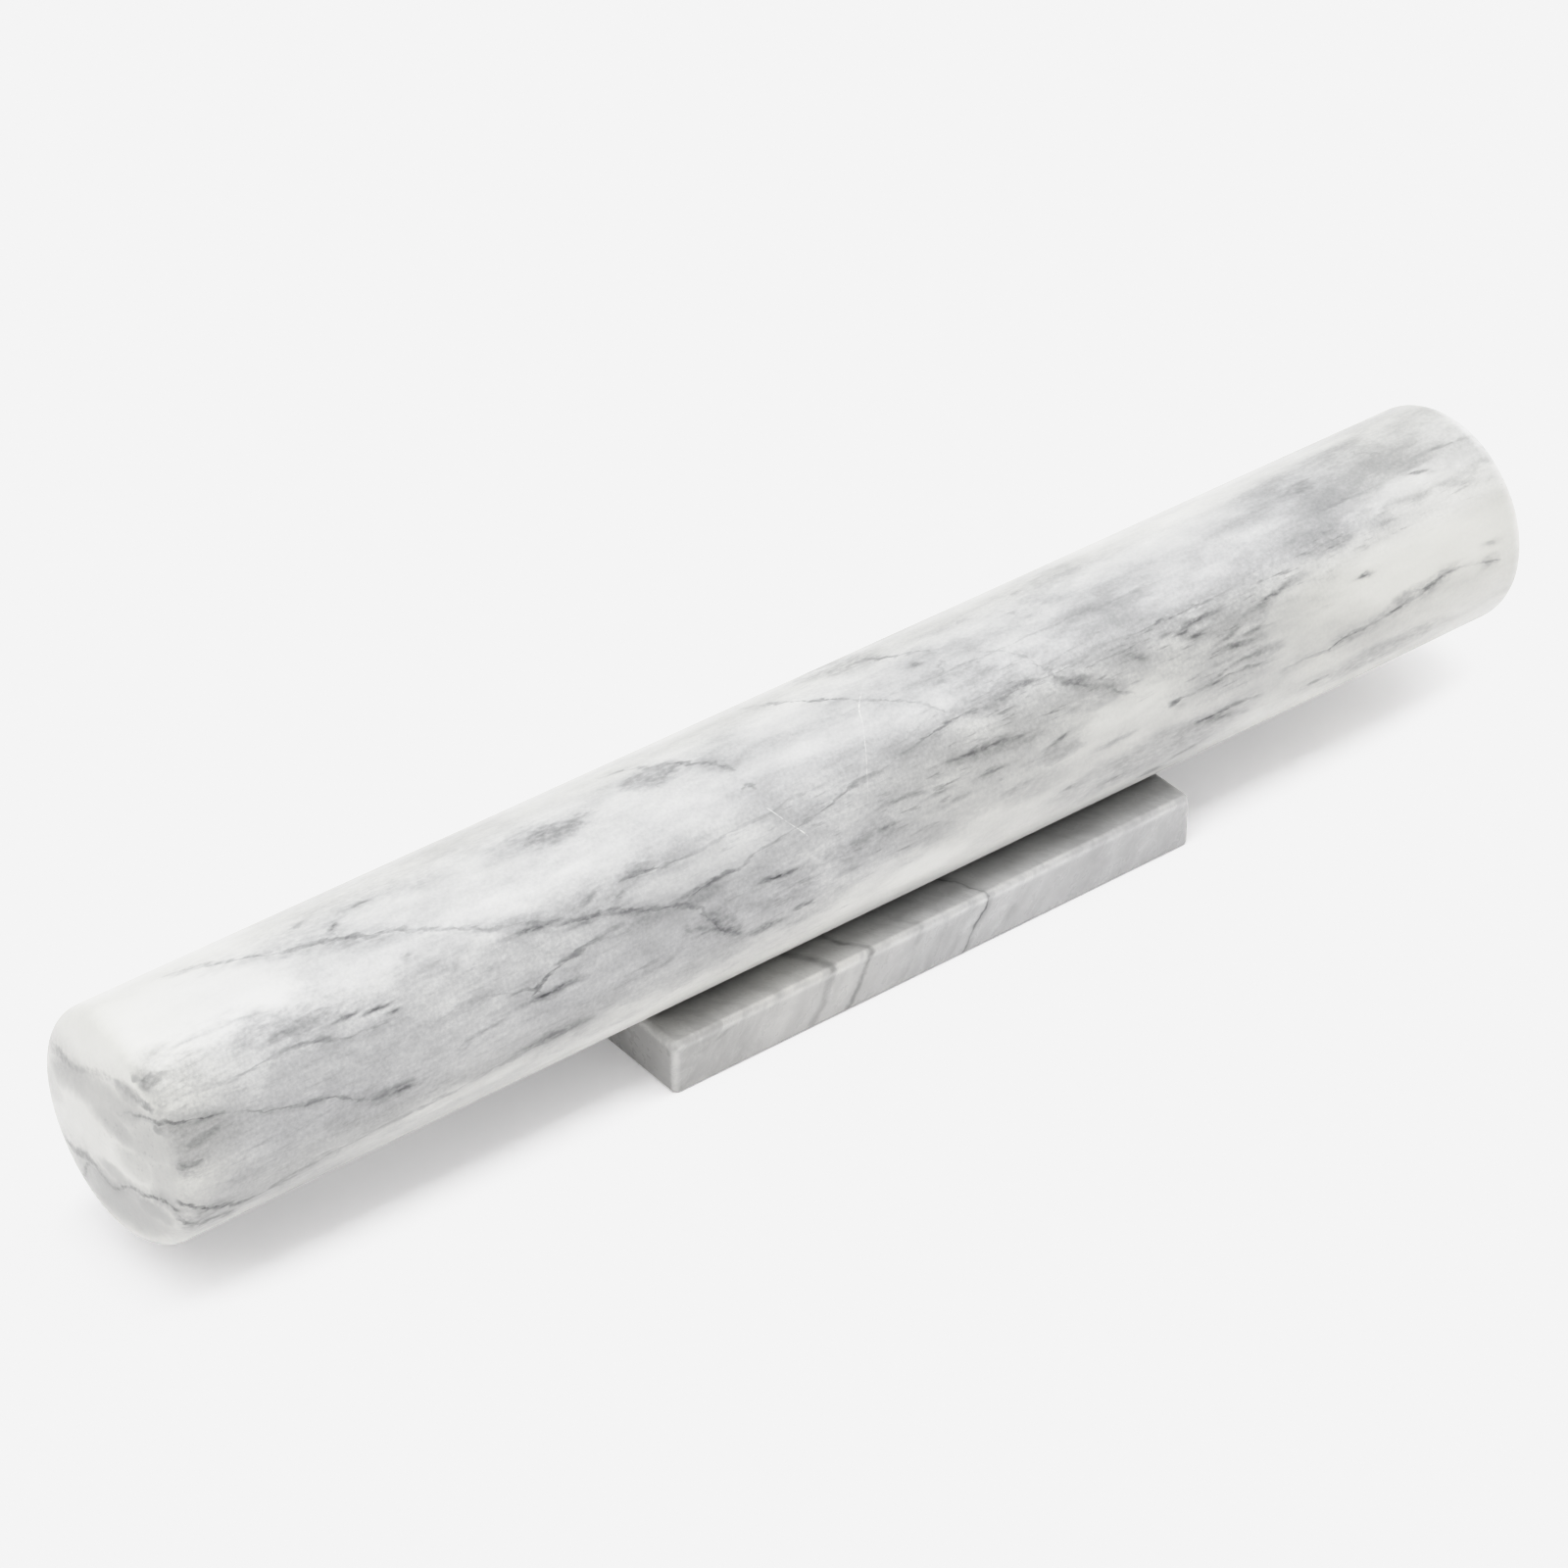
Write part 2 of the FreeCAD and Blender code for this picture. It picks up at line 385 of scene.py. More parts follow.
# along the pin in mm, then how grey the back, the belt and the strip below are
ZONES = (
    (-203, 0.02, 0.33, 0.17), (-165, 0.09, 0.38, 0.24), (-150, 0.25, 0.4, 0.23), (-110, 0.28, 0.4, 0.19),
    (-50, 0.34, 0.36, 0.15), (10, 0.41, 0.34, 0.16), (60, 0.42, 0.33, 0.21), (115, 0.47, 0.3, 0.21),
    (140, 0.5, 0.31, 0.21), (165, 0.52, 0.21, 0.19), (203, 0.34, 0.13, 0.17),
)
border_rows = [
    (x, (high - AROUND_LOW) / AROUND_SPAN, (low - AROUND_LOW) / AROUND_SPAN, 0)
    for x, high, low in BORDERS
]
borders = draw_curves(tree, along_torn, border_rows, *PIN_ENDS)
borders = node(tree, "SeparateColor", {"Color": borders}).outputs
zones = draw_curves(tree, along_torn, ZONES, *PIN_ENDS)
zones = node(tree, "SeparateColor", {"Color": zones}).outputs
print(len(BORDERS), "points on the borders,", len(ZONES), "on the greys")

# %% [markdown]
# The belt has no clean edge: on the stone it frays out into patches. So a patchy noise is added to
# the distance from the border before that is faded. The back gets paler towards the far side, and
# the strip gets a little painted shade where it turns under.

# %% the three zones
def past(border, softness, raggedness):
    """0 above the border and 1 below it. The patches of the stone make the border ragged."""
    border_at = calc(tree, "MULTIPLY_ADD", border, AROUND_SPAN, AROUND_LOW)
    below = calc(tree, "SUBTRACT", around_pushed, border_at)
    below = shake(tree, below, patches, raggedness)
    return fade(tree, below, -softness, softness)


in_belt = past(borders[0], 10, 34)
below_belt = past(borders[1], 14, 60)
back_grey = calc(tree, "MULTIPLY", zones[0], fade(tree, around, -35, 30, 0.45, 1))
zone_grey = blend(tree, below_belt, blend(tree, in_belt, back_grey, zones[1]), zones[2])
# painted shade: the strip grows a little darker where it faces down
zone_grey = calc(tree, "ADD", zone_grey, fade(tree, around, 80, 108, 0, 0.06))
print("three zones with", len(tree.nodes), "nodes so far")

# %% [markdown]
# ## The long veins
# A vein is a crack that filled with darker mineral. On the unrolled surface it is a line that
# wanders along the pin, darker here and thinner there. It could be painted as an image, but an image
# has a fixed sharpness. So each vein is a short list of places, and three curves carry it: its
# route, its darkness and its width. A node group turns the distance from the route into a dark core
# with a soft shade beside it.

# %% the vein group
WIDEST = 5


def new_group(name, inputs, outputs):
    """A node group. The inputs are pairs of a kind and a name, and the outputs are numbers."""
    group = bpy.data.node_groups.new(name, "ShaderNodeTree")
    for kind, socket in inputs:
        group.interface.new_socket(socket, in_out="INPUT", socket_type="NodeSocket" + kind)
    for socket in outputs:
        group.interface.new_socket(socket, in_out="OUTPUT", socket_type="NodeSocketFloat")
    return group, group.nodes.new("NodeGroupInput").outputs, group.nodes.new("NodeGroupOutput").inputs


vein_inputs = [("Color", "Curves")]
vein_inputs += [("Float", name) for name in ("Sideways", "Span", "Low", "Clumps", "Haze")]
vein_group, entry, result = new_group("vein", vein_inputs, ["Dark"])
route, strength, width = node(vein_group, "SeparateColor", {"Color": entry["Curves"]}).outputs
route = calc(vein_group, "MULTIPLY_ADD", route, entry["Span"], entry["Low"])
width = calc(vein_group, "MULTIPLY", width, WIDEST)
distance = calc(vein_group, "ABSOLUTE", calc(vein_group, "SUBTRACT", entry["Sideways"], route))
lumpy = calc(vein_group, "MULTIPLY", width, entry["Clumps"])
# the core fades out just past the vein's width, and the shade beside it at four times the width
core_rim = calc(vein_group, "MULTIPLY", lumpy, 1.2)
core_heart = calc(vein_group, "MULTIPLY", lumpy, 0.2)
core = fade(vein_group, distance, core_rim, core_heart)
shade = fade(vein_group, distance, calc(vein_group, "MULTIPLY", width, 4), 0, 0, 0.4)
shade = calc(vein_group, "MULTIPLY", shade, entry["Haze"])
both = calc(vein_group, "MULTIPLY", calc(vein_group, "MAXIMUM", core, shade), strength)
vein_group.links.new(both, result["Dark"])
print("vein group with", len(vein_group.nodes), "nodes")

# %% [markdown]
# The next helper writes one list of places into the three curves of a vein. The place beside the
# vein may be in degrees: the unit says how many millimetres one of them is. Where two veins cross,
# the darker one counts, which is what the maximum of the two does.

# %% helper for veins
def lay_veins(tree, so_far, lengthways, sideways, veins, low, span, unit=1, clumps=1.0, haze=0.0):
    """Lays veins over what is dark so far. Low and span are the range of the places beside them."""
    for rows in veins.values():
        shares = [(a, (b - low) / span, d, w / WIDEST) for a, b, d, w in rows]
        curves = draw_curves(tree, lengthways, shares, rows[0][0], rows[-1][0])
        sockets = {
            "Curves": curves, "Sideways": sideways, "Span": span * unit, "Low": low * unit,
            "Clumps": clumps, "Haze": haze,
        }
        vein = node(tree, "Group", sockets, node_tree=vein_group).outputs[0]
        so_far = calc(tree, "MAXIMUM", so_far, vein)
    return so_far


on_roller = {"low": AROUND_LOW, "span": AROUND_SPAN, "unit": DEGREE, "clumps": clumps, "haze": haze}
print("a vein is at most", WIDEST, "mm wide")

# %% [markdown]
# Each vein has a name, so that it can be found in the photograph, where its places were read. On the
# left half a long vein slants from the back down to the front, a thin one and a heavy one come from
# the end, and short lines meet in a hook.

# %% veins of the left half
# along the pin in mm, around it in degrees, darkness, width in mm
LEFT_VEINS = {
    "long slanting vein": (
        (-182, -21, 0, 1.6), (-172, -14, 0.3, 1.5), (-162, -5, 0.34, 1.3), (-153, 3.5, 0.36, 1.2),
        (-143, 8, 0.45, 1.3), (-137, 12.5, 0.5, 1.3), (-128, 19.5, 0.36, 1.0), (-115, 30.5, 0.32, 0.8),
        (-103, 39, 0.36, 0.9), (-97, 44, 0.5, 1.1), (-90, 47.5, 0.5, 1.1), (-82, 51.5, 0.55, 1.4),
        (-73, 57, 0.55, 1.4), (-67, 61, 0.5, 1.5), (-61, 65, 0.5, 1.8), (-56, 74, 0.34, 1.6),
        (-54, 81, 0.5, 1.8), (-49, 87.5, 0.42, 1.7), (-43, 94, 0, 1.4),
    ),
    "left thin vein": (
        (-204, 50, 0.4, 0.8), (-196, 55, 0.6, 0.7), (-190, 58, 0.7, 0.7), (-184, 61, 0.2, 0.6),
        (-178, 65, 0.42, 0.6), (-170, 70, 0.5, 0.6), (-160, 76, 0.45, 0.6), (-155, 81, 0.4, 0.7),
        (-147, 87, 0.3, 1.3), (-139, 89, 0, 1.6),
    ),
    "left lower vein": (
        (-204, 91, 0.6, 1.1), (-197, 99, 0.7, 1.2), (-193, 104, 0.8, 1.3), (-187, 109, 0.55, 1.1),
        (-180, 112, 0.5, 1.1), (-172, 110, 0.35, 1.7), (-160, 107, 0.28, 1.4), (-140, 105, 0.28, 1.2),
        (-127, 104, 0.32, 1.2), (-118, 102, 0.34, 1.1), (-106, 101, 0.36, 1.2), (-98, 100, 0, 1),
    ),
    "branch of it": (
        (-202, 102, 0.4, 1.2), (-196, 113, 0.55, 1.5), (-190, 115, 0.6, 2.0), (-184, 119, 0, 2),
    ),
    "hook": (
        (-106, 73, 0, 0.9), (-103, 70, 0.65, 1.0), (-99, 65.5, 0.55, 0.9), (-91, 62, 0.46, 0.8),
        (-83, 61, 0.4, 0.9), (-74, 57, 0, 0.9),
    ),
    "line into the hook": (
        (-130, 62, 0, 0.8), (-118, 63, 0.24, 0.9), (-110, 67, 0.3, 0.8), (-104, 70, 0.4, 0.8),
        (-101, 74, 0, 0.8),
    ),
    "left border line": (
        (-194, 48, 0, 0.7), (-180, 48, 0.22, 0.7), (-165, 47, 0.32, 0.9), (-160, 48, 0.5, 1.1),
        (-156, 50, 0.5, 1.1), (-152, 54, 0.36, 0.9), (-141, 55, 0.3, 0.8), (-134, 56, 0, 0.7),
    ),
}
dark = lay_veins(tree, 0.0, along_pushed, sideways, LEFT_VEINS, **on_roller)
print(len(LEFT_VEINS), "veins on the left half")

# %% [markdown]
# In the middle one vein runs along the belt, and finer ones come down from the back to meet it.

# %% veins of the middle
MIDDLE_VEINS = {
    "middle vein": (
        (-62, 65, 0, 0.9), (-57, 62, 0.5, 0.9), (-50, 59, 0.66, 1.0), (-44, 58, 0.36, 0.8),
        (-40, 56, 0.3, 0.7), (-25, 54, 0.36, 0.7), (-12, 49, 0.42, 0.7), (0, 46, 0.3, 0.7),
        (13, 42, 0.4, 0.8), (24, 39, 0.55, 0.9), (32, 40, 0.25, 0.6), (50, 39, 0.38, 0.6),
        (58, 39, 0.3, 0.6), (75, 38, 0.12, 0.6), (90, 38, 0.55, 0.9), (97, 39, 0.5, 0.9),
        (104, 39, 0.3, 0.9), (112, 37, 0, 0.9),
    ),
    "upper vein": (
        (-18, -28, 0, 1.6), (-12, -17, 0.26, 1.4), (-6, -8, 0.34, 1.1), (-2, -1, 0.5, 1.0),
        (5, 8, 0.22, 0.8), (10, 14, 0.3, 0.8), (19, 27, 0.2, 0.9), (24, 36, 0.15, 0.9), (27, 41, 0, 0.8),
    ),
    "short steep vein": (
        (38, 10, 0, 1.0), (43, 15, 0.2, 1.0), (50, 26, 0.22, 1.4), (54, 40, 0.34, 2.0),
        (58, 47.5, 0.42, 2.2), (65, 55.5, 0.28, 2.2), (69, 61, 0.36, 1.8), (73, 65, 0, 1.2),
    ),
    "arched vein": (
        (-60, -20, 0, 1.3), (-54, -15, 0.3, 1.3), (-48, -8, 0.26, 1.4), (-43, -2, 0.44, 1.5),
        (-38, 5, 0.46, 1.6), (-34, 12, 0.38, 1.7), (-32, 18, 0, 1.4),
    ),
    "middle border line": (
        (-76, 43, 0, 0.8), (-70, 43, 0.6, 1.1), (-65, 43.5, 0.5, 1.0), (-58, 44, 0.36, 1.0),
        (-50, 43, 0.2, 0.7), (-30, 42, 0.2, 0.6), (-20, 41, 0.16, 0.6), (-10, 41, 0, 0.6),
    ),
    "thin fork": (
        (16, -20, 0, 0.7), (19, -13.5, 0.36, 1.0), (21, -9.5, 0.36, 0.9), (23.5, -6, 0.3, 0.8),
        (27, -4, 0.24, 0.7), (30, -1, 0.22, 0.7), (33, 4, 0, 0.6),
    ),
    "hairline above the belt": (
        (-4, 14, 0, 0.5), (12, 15, 0.14, 0.5), (40, 16, 0.2, 0.5), (85, 19, 0.16, 0.6), (100, 20, 0, 0.5),
    ),
}
dark = lay_veins(tree, dark, along_pushed, sideways, MIDDLE_VEINS, **on_roller)
print(len(MIDDLE_VEINS), "veins in the middle")

# %% [markdown]
# The right half is paler below, so its few veins stand out as broken dark lines.

# %% veins of the right half
RIGHT_VEINS = {
    "right vein": (
        (115, 88, 0, 0.8), (124, 88, 0.28, 0.8), (131, 89, 0.34, 0.8), (137, 87, 0.85, 1.1),
        (143, 86, 0.55, 0.8), (150, 86, 0.2, 0.8), (156, 85, 0.7, 1.1), (162, 82, 0.3, 0.9),
        (167, 79, 0.65, 1.0), (175, 78, 0.28, 0.8), (181, 80, 0.1, 0.7), (186, 82, 0.65, 0.8),
        (190, 84, 0, 0.7),
    ),
    "right inner line": (
        (81, 78, 0, 1.0), (85, 78, 0.62, 0.9), (89, 78, 0.3, 0.8), (100, 76, 0.42, 0.9),
        (106, 78, 0.5, 1.1), (112, 79, 0.3, 1.1), (119, 80, 0, 1.0),
    ),
    "right lower line": (
        (88, 95, 0, 1.0), (93, 96, 0.7, 1.2), (100, 96, 0.5, 1.2), (108, 96, 0.38, 1.4),
        (114, 97, 0, 1.2),
    ),
}
dark = lay_veins(tree, dark, along_pushed, sideways, RIGHT_VEINS, **on_roller)
print(len(RIGHT_VEINS), "veins on the right half")

# %% [markdown]
# ## Dashes and smudges
# Between the veins the stone is full of short dark dashes that lie along the pin, and of soft
# clouds. Each is an ellipse. A dot product with an arrow tells how far a point lies in the
# direction of that arrow, so two arrows, one along the ellipse and one across it, give the distance
# from its middle. Every place on the surface has 1 as its third number, and the third number of an
# arrow holds the shift of the ellipse. A smudge fades out at the rim of the ellipse. A dash is
# darkest in its middle and has a long faint tail, like a stain that soaked into the stone.

# %% the mark group
def reach(tree, place, arrow):
    """How far a place lies in the direction of an arrow."""
    return node(tree, "VectorMath", {0: place, 1: arrow}, operation="DOT_PRODUCT").outputs["Value"]


mark_inputs = [("Vector", name) for name in ("Surface", "Lengthways", "Crossways")]
mark_inputs += [("Float", "Darkness")]
mark_group, entry, result = new_group("mark", mark_inputs, ["Smudge", "Dash"])
lengthways = reach(mark_group, entry["Surface"], entry["Lengthways"])
crossways = reach(mark_group, entry["Surface"], entry["Crossways"])
square = calc(mark_group, "MULTIPLY", crossways, crossways)
square = calc(mark_group, "MULTIPLY_ADD", lengthways, lengthways, square)
mark_group.links.new(fade(mark_group, square, 1, 0.04, 0, entry["Darkness"]), result["Smudge"])
far_off = calc(mark_group, "POWER", square, 1.5)
peak = calc(mark_group, "DIVIDE", entry["Darkness"], calc(mark_group, "MULTIPLY_ADD", far_off, 2, 1))
mark_group.links.new(peak, result["Dash"])
print("mark group with", len(mark_group.nodes), "nodes")

# %% [markdown]
# The marks could be scattered at random, but the eye knows the photograph by its larger ones. So
# these are listed one by one, and only the finest grain of the stone is left to noise. As with the
# veins, the unit turns degrees into millimetres, and the stronger of two marks counts.

# %% helper for marks
def lay_marks(tree, so_far, kind, surface, marks, unit=1):
    """Lays marks of one kind, Smudge or Dash, over those laid so far."""
    for along, beside, half_length, half_height, tilt, darkness in marks:
        cos, sin = math.cos(math.radians(tilt)), math.sin(math.radians(tilt))
        beside = beside * unit
        sockets = {
            "Surface": surface,
            "Lengthways": Vector((cos, sin, -cos * along - sin * beside)) / half_length,
            "Crossways": Vector((-sin, cos, sin * along - cos * beside)) / half_height,
            "Darkness": darkness,
        }
        mark = node(tree, "Group", sockets, node_tree=mark_group).outputs[kind]
        so_far = calc(tree, "MAXIMUM", so_far, mark)
    return so_far


print("marks are ready")

# %% [markdown]
# The dashes are the sharp, nearly black strokes of the stone. Most are less than two millimetres
# high and lie flat along the pin.

# %% dashes of the pin
# along in mm, around in degrees, half length in mm, half height in mm, tilt in degrees, darkness
DASHES = (
    (-98, 45, 9, 0.8, 4, 0.72), (-100, 75, 9, 0.9, 2, 0.85), (-35, 71, 5, 0.7, 2, 0.9),
    (-40, 94, 5, 0.8, 2, 0.7), (-30, 91, 5, 0.7, -8, 0.6), (-150, 45, 5, 0.7, 0, 0.65),
    (-142, 47, 4, 0.7, 0, 0.75), (-139, 52, 2, 0.7, 0, 0.7), (-117, 77, 4, 0.6, 0, 0.4),
    (23.5, 57, 7, 0.6, 0, 0.6), (31, 58.5, 7, 0.6, 4, 0.6), (38, 59, 5, 0.5, 0, 0.4),
    (6, 63, 4, 0.7, 15, 0.45), (-4, 72, 4, 0.7, 0, 0.5), (29, 69, 4, 0.6, 0, 0.6),
    (48, 69.5, 5, 0.6, -8, 0.6), (77, 50, 3, 1.0, 20, 0.5), (99, 101, 8, 0.9, 10, 0.5),
    (98, 45, 8, 0.7, 0, 0.62), (92, 47, 2.5, 0.7, 0, 0.72), (95, 51, 3.5, 0.7, 10, 0.72),
    (106, 64, 6, 0.7, 5, 0.6), (121, 50, 8, 0.8, -8, 0.78), (148, 60, 2.4, 0.45, 0, 0.72),
    (176.5, 25.5, 3.5, 0.6, 10, 0.65), (152, 22, 8, 0.6, 0, 0.35), (186, 17, 9, 0.6, 4, 0.35),
    (-141, 88, 3, 1.3, 0, 0.68), (-130, -5, 3, 0.9, 0, 0.4), (25, 4, 1.7, 1.1, 0, 0.6),
    (-200, 30, 1.6, 1.1, 0, 0.5), (-57, 60, 9, 0.8, -4, 0.45), (112, 62, 5, 0.6, 0, 0.45),
    (104, 59, 7, 0.6, -10, 0.4), (12, 68, 6, 0.7, 0, 0.4), (-86, 52, 7, 0.7, 6, 0.4),
    (-70, 86, 8, 0.7, -10, 0.3), (0, 62, 8, 0.7, 0, 0.4), (187, 73, 3, 0.6, 8, 0.3),
    (160, 41, 5, 0.6, 5, 0.3), (-15, 84, 5, 0.8, 0, 0.3), (65, 83, 7, 0.8, -6, 0.3),
    (35, 83, 5, 0.8, 0, 0.25), (-102, 99, 10, 1.2, 0, 0.5), (-140, 1, 2, 1.0, -20, 0.6),
    (-146, -10, 3, 1.0, 0, 0.35), (-160, 43, 4, 0.6, 0, 0.25), (-166, 40, 5, 0.6, -4, 0.2),
    (-172, 26, 6, 0.6, 4, 0.2), (-185, 25, 6, 0.6, 0, 0.2), (-85, 43, 5, 0.7, -12, 0.4),
    (-77, 49, 4, 0.7, -25, 0.45), (-60, 76, 5, 0.8, 30, 0.35), (-51, 60, 5, 0.7, -11, 0.65),
    (-56, 82, 4, 0.7, 0, 0.5), (-75, 84, 6, 0.6, -8, 0.3), (-80, 88, 5, 0.6, 0, 0.25),
    (88, 44, 3, 0.6, 0, 0.45), (108, 72, 6, 0.6, 0, 0.35), (101, 68, 5, 0.5, 0, 0.3),
    (40, 62, 5, 0.6, 0, 0.35), (17, 75, 7, 0.7, 0, 0.3), (60, 38, 4, 0.7, 12, 0.35),
    (-130, 32.5, 1.6, 0.6, -10, 0.35), (-121, 46, 1.4, 0.7, -20, 0.3), (46, 38.5, 8, 0.7, 3, 0.35),
    (56, 45, 3, 1.2, 30, 0.4), (98, 77, 4, 0.6, 0, 0.55), (107, 78, 4.5, 0.7, 4, 0.5),
    (66, 107, 4, 0.6, -3, 0.35), (89, 114, 6, 0.6, -10, 0.35),
)
dark = lay_marks(tree, dark, "Dash", unrolled, DASHES, DEGREE)
print(len(DASHES), "dashes")

# %% [markdown]
# The smudges are the grey clouds around and between them, from the size of a fingertip to that of
# a hand.

# %% smudges of the pin
SMUDGES = (
    (-66, 41, 8, 1.1, 4, 0.3), (-192, 67, 7, 1.6, -5, 0.4), (-197, 76, 3, 1.4, 10, 0.4),
    (-124, 80, 3.5, 1.3, -20, 0.35), (67, 109, 8, 1.5, 10, 0.4), (52, 98.5, 4.5, 1.3, -6, 0.35),
    (80, 119, 5, 1.4, 10, 0.45), (131, 107, 4, 1.2, 0, 0.4), (155, 113, 18, 1.8, -2, 0.25),
    (-143, 87, 9, 2.4, 0, 0.38), (-80, 5, 11, 4.5, -6, 0.45), (-51, -1, 10, 5, 0, 0.4),
    (-160, 39, 15, 2.8, 0, 0.28), (146, 4, 7, 2.4, 0, 0.36), (142, 39, 10, 2.6, 0, 0.3),
    (48, 75, 8, 3, 0, 0.32), (82, 22, 13, 4, 0, 0.15), (-198, 33, 4, 2.2, 0, 0.4),
    (-202, 54, 2.4, 2, 0, 0.4), (62, -14, 3.5, 1.4, 0, 0.3), (46, -11, 4, 1.4, 0, 0.18),
    (-32, 27, 2.6, 1.2, 30, 0.3), (57, 0, 1.4, 2.5, 0, 0.3), (-51, 82, 9, 3.5, 45, 0.34),
    (-142.5, 3.5, 4, 1.8, -27, 0.35), (27, 58.5, 16, 2.6, 2, 0.26), (76, 103, 38, 8, 0, 0.28),
    (-10, 76, 14, 3, 0, 0.2), (-100, 98, 14, 2.2, 0, 0.3), (168.5, 0, 5.5, 0.9, 65, 0.34),
    (28.5, 14.5, 6, 1.0, -64, 0.32), (20.5, -10.5, 4.5, 1.2, 38, 0.3), (112, 73, 10, 2.0, 0, 0.3),
    (98, 97, 12, 1.8, 0, 0.35), (-120, -25, 45, 9, 0, 0.12), (158, 14, 26, 8, 0, 0.1),
    (18, 85, 20, 4, 0, 0.15), (33, 21, 12, 6, 15, 0.24), (106, 52, 16, 4, 0, 0.15),
    (58, 46, 7, 3, 30, 0.25), (-125, -8, 60, 9, 0, 0.16), (12, -24, 16, 10, 0, 0.28),
    (72, -14, 30, 7, 0, 0.13), (163, -6, 16, 8, 0, 0.15), (-165, 34, 16, 6, 0, 0.17),
    (-52, 76, 14, 4, 0, 0.12), (38, 86, 16, 5, 0, 0.14), (112, 36, 22, 5, 0, 0.1),
    (-112, 68, 34, 5, 0, 0.13), (-85, 0, 22, 7, 0, 0.18), (38, 37, 16, 5, 0, 0.28),
    (-34, 80, 18, 6, 0, 0.3), (-13, 71, 14, 5, 0, 0.34), (124, 38, 24, 4, 0, 0.2),
    (132, 35, 28, 6, 0, 0.22), (-150, 4, 24, 4, 24, 0.16), (152, 109, 30, 5, 0, 0.28),
    (-190, 110, 12, 5, 0, 0.2), (38, 8, 14, 6, 0, 0.15), (150, 86, 22, 2.6, -6, 0.16),
    (97, 46, 11, 4, 0, 0.24), (-137, 75, 14, 8, 0, 0.12), (62, 1, 12, 5, 0, 0.16),
    (62, 29, 12, 4, 0, 0.16), (-12, 77, 11, 3.5, 0, 0.3), (163, 79, 16, 2.4, -6, 0.2),
    (135, 30, 22, 6, 0, 0.13), (62, 58, 12, 3.5, 0, 0.2),
)
soft = lay_marks(tree, 0.0, "Smudge", torn, SMUDGES, DEGREE)
print(len(SMUDGES), "smudges")

# %% [markdown]
# In some places the stone is paler than its zone. The same marks serve for that, and are taken away
# from the grey later instead of being added to it.

# %% pale patches of the pin
PALE_PATCHES = (
    (-52, 52, 30, 7, 0, 0.4), (-112, 91, 20, 5, 0, 0.25), (-195, 90, 12, 6, 0, 0.25),
    (176, 28, 26, 4, 0, 0.35), (178, 98, 26, 6, 0, 0.2), (168, 66, 42, 11, 0, 0.5),
    (-125, 107, 24, 4, 0, 0.35), (70, 70, 16, 5, 0, 0.35), (8, 105, 16, 5, 0, 0.42),
    (-20, 20, 30, 4, 0, 0.2), (92, 17, 14, 6, 0, 0.15), (11, 69, 12, 4, 0, 0.2),
    (125, -24, 60, 8, 0, 0.3), (-64, 71, 12, 4, 0, 0.2), (12, 77, 10, 4, 0, 0.2),
    (-12, 0, 18, 6, 0, 0.25), (104, 0, 30, 5, 0, 0.25),
)
pale = lay_marks(tree, 0.0, "Smudge", torn, PALE_PATCHES, DEGREE)
print(len(PALE_PATCHES), "pale patches")

# %% [markdown]
# ## The left end
# The domed end cuts across the same stone, so the veins of the roller run on over it. Here the
# surface is nearly flat, and a point is placed by its distance to the right of and above the axis.
# The right end is not seen in the photograph and keeps the plain stone.

# %% veins of the left end
END_PUSH = 4
right_of = shake(tree, calc(tree, "MULTIPLY", across, -1), push[0], END_PUSH)
above = shake(tree, up, push[2], END_PUSH)
on_dome = node(tree, "CombineXYZ", {"X": right_of, "Y": above, "Z": 1}).outputs[0]
# right of the axis and above it in mm, darkness, width in mm
END_VEINS = {
    "upper vein": (
        (-27, 10.5, 0, 1.5), (-20, 11.5, 0.25, 2.0), (-14, 12.5, 0.35, 2.0), (-8, 13.5, 0.22, 1.6),
        (-2, 16.5, 0.2, 1.5), (5, 18.5, 0.22, 1.6), (12, 18.5, 0.26, 1.6), (18, 17.8, 0.32, 1.4),
        (24, 17, 0.22, 1.2), (28, 17, 0, 1),
    ),
    "thin vein": (
        (9, 13, 0, 0.6), (14, 14.3, 0.4, 0.6), (18, 15.2, 0.5, 0.6), (21, 15.6, 0.7, 0.7),
        (24, 16.6, 0.5, 0.7), (28, 18, 0.3, 0.7),
    ),
    "lower vein": (
        (-21, -14, 0, 2), (-15, -12.3, 0.46, 2.2), (-9, -10.5, 0.44, 2), (-4, -9, 0.36, 2),
        (0, -10.5, 0.28, 1.5), (4, -11.3, 0.32, 1.1), (8, -9, 0.42, 1), (12, -7, 0.42, 0.9),
        (15, -6.5, 0.46, 0.9), (20, -5.2, 0.65, 1), (23, -4.8, 0.55, 0.9), (26, -5.8, 0.75, 1.1),
        (29, -6.3, 0.6, 1.1),
    ),
    "branch of it": (
        (-14, -22, 0, 1.4), (-10, -17.5, 0.34, 1.3), (-7, -13.5, 0.4, 1.3), (-4, -10, 0, 1.3),
    ),
}
end_dark = lay_veins(tree, 0.0, right_of, above, END_VEINS, low=-30, span=60, haze=1.0)
print(len(END_VEINS), "veins on the end")

# %% [markdown]
# Soft greys fill the end between its veins. The two masks at the foot of this cell are 1 on an end
# and 0 on the roller, and fade over the rounding between them.

